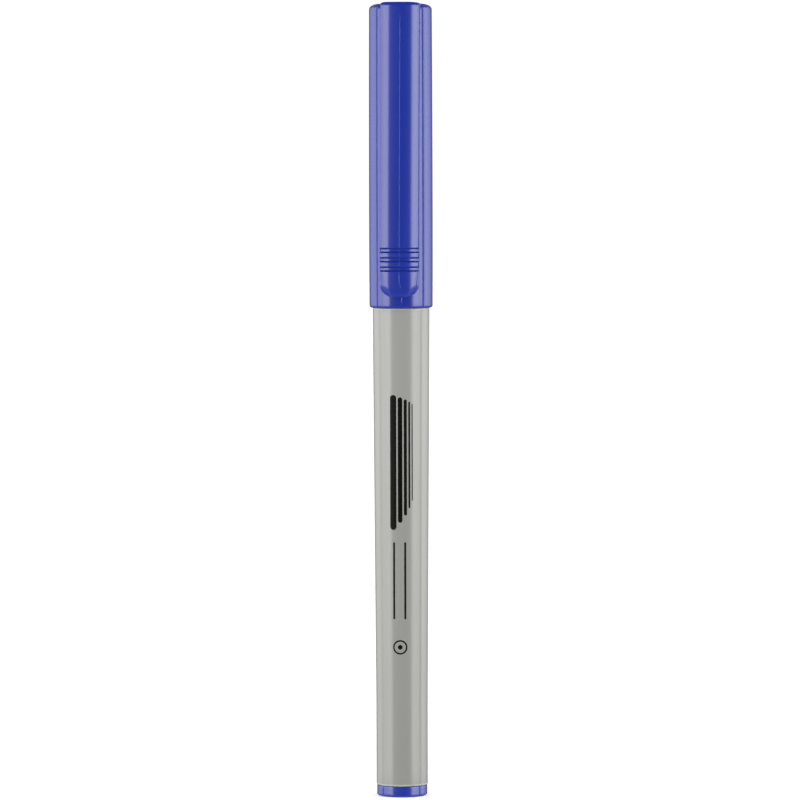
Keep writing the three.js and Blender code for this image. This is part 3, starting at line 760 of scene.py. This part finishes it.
def clip_back(x, z):
    """The hidden side: a tongue of even thickness, running into the cap's wall at the root."""
    tongue = CLIP_AXIS_Y - math.sqrt((CLIP_FACE_RADIUS - CLIP_THICKNESS) ** 2 - x * x)
    in_wall = 5.0
    wall = -math.sqrt(in_wall * in_wall - x * x)
    root = wall + (CLIP_ROOT_BACK_Y - wall) * smooth(z, CAP_CEILING_Z, CAP_CEILING_Z + 0.4)
    return tongue + (root - tongue) * smooth(z, CLIP_ROOT_Z - 0.6, CLIP_ROOT_Z + 0.4)


def clip_rows():
    """Heights of the band's rows, closer together at the tip, the grooves and the top."""
    quarter = np.linspace(0, math.pi / 2, 26)
    first_groove, last_groove = GROOVE_HEIGHTS[0] - 0.6, GROOVE_HEIGHTS[-1] + 0.6
    corner_height = 0.35
    tip = [CLIP_TIP_Z + TIP_CORNER_HEIGHT * (1 - math.cos(t)) for t in quarter]
    hook = list(np.arange(CLIP_TIP_Z + 1.2, first_groove, 0.06))
    grooved = list(np.arange(first_groove, last_groove, 0.03))
    plain = list(np.linspace(last_groove, CLIP_TOP_Z - 1.1, 120))
    top = [CLIP_TOP_Z - CLIP_TOP_ROUND * (1 - math.sin(t)) for t in quarter]
    corner = [CLIP_TOP_Z - corner_height * (1 - math.sin(t)) for t in quarter]
    return sorted(set(round(z, 5) for z in tip + hook + grooved + plain + top + corner))


def clip_columns():
    """Places across the band from -1 to 1, closer together at the edges and over the parting line."""
    edge_reach, middle_reach, line_reach = 0.12, 0.86, 0.018
    edge = [1 - edge_reach * (1 - math.sin(t)) for t in np.linspace(0, math.pi / 2, 14)]
    middle = list(np.linspace(-middle_reach, middle_reach, 61))
    line = list(np.linspace(-line_reach, line_reach, 25))
    values = [-e for e in edge] + middle + line + edge
    return sorted(set(round(v, 5) for v in values))


def clip_band():
    rows, columns = clip_rows(), clip_columns()
    points, front, back = [], [], []
    for z in rows:
        front_row, back_row = [], []
        for c in columns:
            half = clip_edge(z, c)
            line_x = parting_x(z, half)
            x = c * half + line_x * (1 - c * c)
            face = clip_front(x, line_x, z, half)
            front_row.append(len(points))
            points.append((x + clip_lean(z), CLIP_AXIS_Y - math.sqrt(face * face - x * x), z))
            back_row.append(len(points))
            points.append((x + clip_lean(z), clip_back(x, z), z))
        front.append(front_row)
        back.append(back_row)
    faces = []
    for i in range(len(rows) - 1):
        for j in range(len(columns) - 1):
            faces.append((front[i][j], front[i][j + 1], front[i + 1][j + 1], front[i + 1][j]))
            faces.append((back[i][j], back[i + 1][j], back[i + 1][j + 1], back[i][j + 1]))
        faces.append((front[i][0], front[i + 1][0], back[i + 1][0], back[i][0]))
        faces.append((front[i][-1], back[i][-1], back[i + 1][-1], front[i + 1][-1]))
    for j in range(len(columns) - 1):
        faces.append((front[0][j], back[0][j], back[0][j + 1], front[0][j + 1]))
        faces.append((front[-1][j], front[-1][j + 1], back[-1][j + 1], back[-1][j]))
    return points, faces


clip = add_piece("clip_band", *clip_band(), cap_blue, 40)
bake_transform(clip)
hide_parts("pocket_clip")


def pad_block():
    """The pad under the tongue, with ramps that let a pocket's hem slide in."""
    low, high = CLIP_TIP_Z + 2.1, CLIP_TIP_Z + 6.7
    back, front = -5.835, -6.6
    ramp_end, face_start, dip = 0.75, 0.9, 0.065
    half, bevel, inset = 1.2, 0.08, 0.06
    sides = [(front, low), (back - dip, low + ramp_end), (back, low + face_start),
             (back, high - face_start), (back - dip, high - ramp_end), (front, high)]
    corners = len(sides)
    lean = clip_lean((low + high) / 2)
    points = []
    for x in (-half, -half + bevel, half - bevel, half):
        lift = inset if abs(x) == half else 0.0
        points += [(x + lean, y - lift, z) for y, z in sides]
    faces = []
    for k in range(3):
        for i in range(corners):
            j = (i + 1) % corners
            first, second = corners * k, corners * (k + 1)
            faces.append((first + i, first + j, second + j, second + i))
    faces.append(tuple(range(corners - 1, -1, -1)))
    faces.append(tuple(range(3 * corners, 4 * corners)))
    return points, faces


pad = add_piece("clip_pad", *pad_block(), cap_blue, 40)
ride(pad, "clip", "cap_plastic")


# Printed marks

PRINT_LIFT = 0.006


def barrel_radius(z):
    taper = (z - STRAIGHT_END_Z) / (SHOULDER_Z - SHOULDER_ROUND - STRAIGHT_END_Z)
    return REAR_RADIUS + (SHOULDER_RADIUS - REAR_RADIUS) * max(taper, 0.0)


def on_barrel(x, z):
    """A point of the print, x along the barrel's curve from its front line."""
    radius = barrel_radius(z)
    turn = FRONT + x / radius
    return ((radius + PRINT_LIFT) * math.cos(turn), (radius + PRINT_LIFT) * math.sin(turn), z)


def print_grid(outline, columns):
    """A printed patch from rows of (left, right, height), as a thin skin on the barrel."""
    points, faces = [], []
    for left, right, z in outline:
        for i in range(columns + 1):
            points.append(on_barrel(left + (right - left) * i / columns, z))
    width = columns + 1
    for i in range(len(outline) - 1):
        for j in range(columns):
            a = i * width + j
            faces.append((a, a + 1, a + 1 + width, a + width))
    return points, faces


def stroke(left, right, low, high, rows=40):
    """A lengthwise stripe with round ends."""
    half, middle = (right - left) / 2, (left + right) / 2
    narrowest = 0.003
    quarter = np.linspace(0, math.pi / 2, 8)
    levels = [low + half * (1 - math.cos(t)) for t in quarter]
    levels += list(np.linspace(low + half, high - half, rows))[1:-1]
    levels += [high - half * (1 - math.sin(t)) for t in quarter]
    outline = []
    for z in levels:
        past = max(low + half - z, z - high + half, 0.0)
        reach = max(math.sqrt(max(half * half - past * past, 0.0)), narrowest)
        outline.append((middle - reach, middle + reach, z))
    return print_grid(outline, 6)


def ring(middle_x, middle_z, outer, inner, steps=56):
    """A printed ring, or a dot where its inner radius is next to nothing."""
    points, faces = [], []
    for i in range(steps):
        across, along = math.cos(2 * math.pi * i / steps), math.sin(2 * math.pi * i / steps)
        for radius in (inner, outer):
            points.append(on_barrel(middle_x + radius * across, middle_z + radius * along))
    for i in range(steps):
        j = (i + 1) % steps
        faces.append((2 * i, 2 * i + 1, 2 * j + 1, 2 * j))
    return points, faces


def joined(parts):
    """Several meshes as one."""
    points, faces = [], []
    for some_points, some_faces in parts:
        faces += [tuple(len(points) + i for i in face) for face in some_faces]
        points += some_points
    return points, faces


def printed_marks():
    """Five stripes that thin from bold to fine, two fine lines, and a ring with a dot."""
    stripe_widths, stripe_gap = [1.15, 0.8, 0.55, 0.35, 0.2], 0.27
    stripes_low, stripes_high, rise, drop = 48.0, 72.1, 1.3, 0.4
    line_width, lines_low, lines_high = 0.35, 32.0, 45.8
    ring_x, ring_z = -0.3, 27.0
    ring_outer, ring_inner, dot_outer, dot_inner = 1.3, 1.02, 0.42, 0.0001
    left = -2.07
    parts = []
    for i, width in enumerate(stripe_widths):
        parts.append(stroke(left, left + width, stripes_low + rise * i, stripes_high - drop * i))
        left += width + stripe_gap
    for left in (-1.55, 0.45):
        parts.append(stroke(left, left + line_width, lines_low, lines_high))
    parts.append(ring(ring_x, ring_z, ring_outer, ring_inner))
    parts.append(ring(ring_x, ring_z, dot_outer, dot_inner))
    return joined(parts)


marks = add_piece("printed_marks", *printed_marks(), black_ink)
ride(marks, "pen", "barrel_plastic")


# Floor


def floor_disc(radius=3200, rings=12, steps=96):
    """A flat disc, its rings closer together near the pen."""
    turns = [2 * math.pi * i / steps for i in range(steps)]
    points, faces = [(0.0, 0.0, 0.0)], []
    for k in range(1, rings + 1):
        reach = radius * (k / rings) ** 2
        points += [(reach * math.cos(t), reach * math.sin(t), 0.0) for t in turns]
    for i in range(steps):
        faces.append((0, 1 + i, 1 + (i + 1) % steps))
    for k in range(rings - 1):
        for i in range(steps):
            a, b = 1 + k * steps, 1 + (k + 1) * steps
            j = (i + 1) % steps
            faces.append((a + i, b + i, b + j, a + j))
    return points, faces


def pale_floor():
    m = Finish("pale_floor")
    cloud = m.noise(6, 3)
    m.set(Base_Color=m.mix(m.span(cloud, 0, 1), (0.88, 0.88, 0.88), (0.90, 0.90, 0.90)))
    m.set(Roughness=0.9, Emission_Color=(1, 1, 1, 1), Emission_Strength=0.45)
    m.set(Specular_IOR_Level=0.0)
    return m.material


floor = add_piece("floor", *floor_disc(), pale_floor())
floor.visible_glossy = False
floor.visible_diffuse = False


# Light: a soft box on each side of the camera, a dimmer light behind each, and a dark gap between them

# Levels by the angle in degrees from the camera's side, to the left and to the right
LEFT_LIGHTS = [
    (0, 0.14), (16, 0.3), (30, 0.5), (36, 0.8),
    (40.3, 1.4), (47.3, 5.75), (60, 5.9), (67, 5.1), (73, 4.4), (92.5, 3.9),
    (94.5, 0.7), (99.5, 0.7),
    (101, 3.2), (118, 2.4), (144, 0.9), (152, 0.3), (180, 0.2),
]
RIGHT_LIGHTS = [
    (0, 0.1), (16, 0.15), (30, 0.35), (36.5, 0.8),
    (39.5, 1.4), (47, 5.7), (55, 6.9), (65, 6.3), (69, 5.6), (83.5, 5.1),
    (85.5, 0.7), (91.5, 0.7),
    (93.5, 3.6), (104, 4.1), (124, 2.0), (142, 0.65), (155, 0.25), (180, 0.2),
]
# Shares of a light by the angle in degrees above the horizon: both fade alike below it
LOWER_REACH = [
    (-75, 0.0), (-45, 0.06), (-30, 0.11), (-14, 0.21), (-10, 0.4), (-6.5, 0.77), (-3, 0.96), (0, 1.0),
]
FRONT_REACH = LOWER_REACH + [(8, 1.0), (17, 0.45), (27, 0.1), (38, 0.0)]
REAR_REACH = LOWER_REACH + [(24, 1.0), (36, 0.3), (50, 0.0)]
# Angles between which the front lights' reach turns into the rear lights'
BEHIND_START, BEHIND_END = 90, 98
# Levels below and above the lights, as gloss mirrors them
MIRRORED_FILL = [(-90, 0.08), (-70, 0.3), (-50, 0.36), (-30, 0.16), (-12, 0.16), (8, 0.08), (90, 0.08)]
# Dull faces are lit more evenly: by a share of each side's lights, and from above and below
SOFT_LEFT, SOFT_RIGHT = 0.42, 0.05
SOFT_FILL = [(-90, 0.5), (-62, 0.9), (-38, 2.1), (-15, 1.5), (10, 0.72), (90, 0.72)]
# The level that the ramps' white stands for, and the level of the backdrop that the camera sees
BRIGHTEST = 8.0
BACKDROP = 1.05


def studio():
    """The camera sees a plain white backdrop, and gloss and dull faces are lit by skies of their own."""
    world = bpy.data.worlds.new("studio")
    bpy.context.scene.world = world
    world.use_nodes = True
    world.node_tree.nodes.clear()
    g = Graph(world.node_tree)
    way = g.add("ShaderNodeSeparateXYZ")
    g.feed(way.inputs[0], g.add("ShaderNodeTexCoord").outputs["Generated"])
    x, y, z = way.outputs
    turn = g.math("DIVIDE", g.math("ABSOLUTE", g.math("ARCTAN2", x, g.math("MULTIPLY", y, -1.0))), math.pi)
    rise = g.math("ADD", g.math("DIVIDE", g.math("ARCSINE", z), math.pi), 0.5)

    def round_the_pen(lights):
        return g.ramp(turn, [(angle / 180, level / BRIGHTEST) for angle, level in lights])

    def up_the_pen(shares, top=1.0):
        return g.ramp(rise, [((angle + 90) / 180, share / top) for angle, share in shares])

    on_right = g.math("GREATER_THAN", x, 0.0)
    belt = g.mix(on_right, round_the_pen(LEFT_LIGHTS), round_the_pen(RIGHT_LIGHTS))
    behind = g.span(turn, 0, 1, BEHIND_START / 180, BEHIND_END / 180)
    reach = g.mix(behind, up_the_pen(FRONT_REACH), up_the_pen(REAR_REACH))
    mirrored = g.mix(reach, up_the_pen(MIRRORED_FILL, BRIGHTEST), belt)
    soft_share = g.span(on_right, SOFT_LEFT, SOFT_RIGHT, 0, 1)
    soft_belt = g.math("MULTIPLY", belt, soft_share)
    soft = g.mix(reach, up_the_pen(SOFT_FILL, BRIGHTEST), soft_belt)
    rays = g.add("ShaderNodeLightPath").outputs
    light = g.mix(rays["Is Diffuse Ray"], mirrored, soft)
    lit = g.add("ShaderNodeBackground")
    g.feed(lit.inputs["Color"], light)
    g.feed(lit.inputs["Strength"], BRIGHTEST)
    seen = g.add("ShaderNodeBackground")
    g.feed(seen.inputs["Color"], (1, 1, 1, 1))
    g.feed(seen.inputs["Strength"], BACKDROP)
    choose = g.add("ShaderNodeMixShader")
    g.feed(choose.inputs["Fac"], rays["Is Camera Ray"])
    g.feed(choose.inputs[1], lit.outputs[0])
    g.feed(choose.inputs[2], seen.outputs[0])
    g.feed(g.add("ShaderNodeOutputWorld").inputs["Surface"], choose.outputs[0])


studio()
bpy.context.scene.view_settings.view_transform = "Standard"


# Camera


def add_camera():
    """A long lens in front of the pen, level with the nose cone, looking a little down."""
    place, aim = Vector((-0.236, -1110, 124)) * MM, Vector((-0.236, 0, 70.98)) * MM
    roll = Matrix.Rotation(math.radians(-0.14), 4, "Z")
    data = bpy.data.cameras.new("camera")
    data.lens = 279.5
    data.sensor_width = 36
    data.clip_start, data.clip_end = 0.05, 20
    camera = bpy.data.objects.new("camera", data)
    bpy.context.scene.collection.objects.link(camera)
    camera.location = place
    turn = (aim - place).to_track_quat("-Z", "Y")
    camera.rotation_mode = "QUATERNION"
    camera.rotation_quaternion = (turn.to_matrix().to_4x4() @ roll).to_quaternion()
    bpy.context.scene.camera = camera


add_camera()
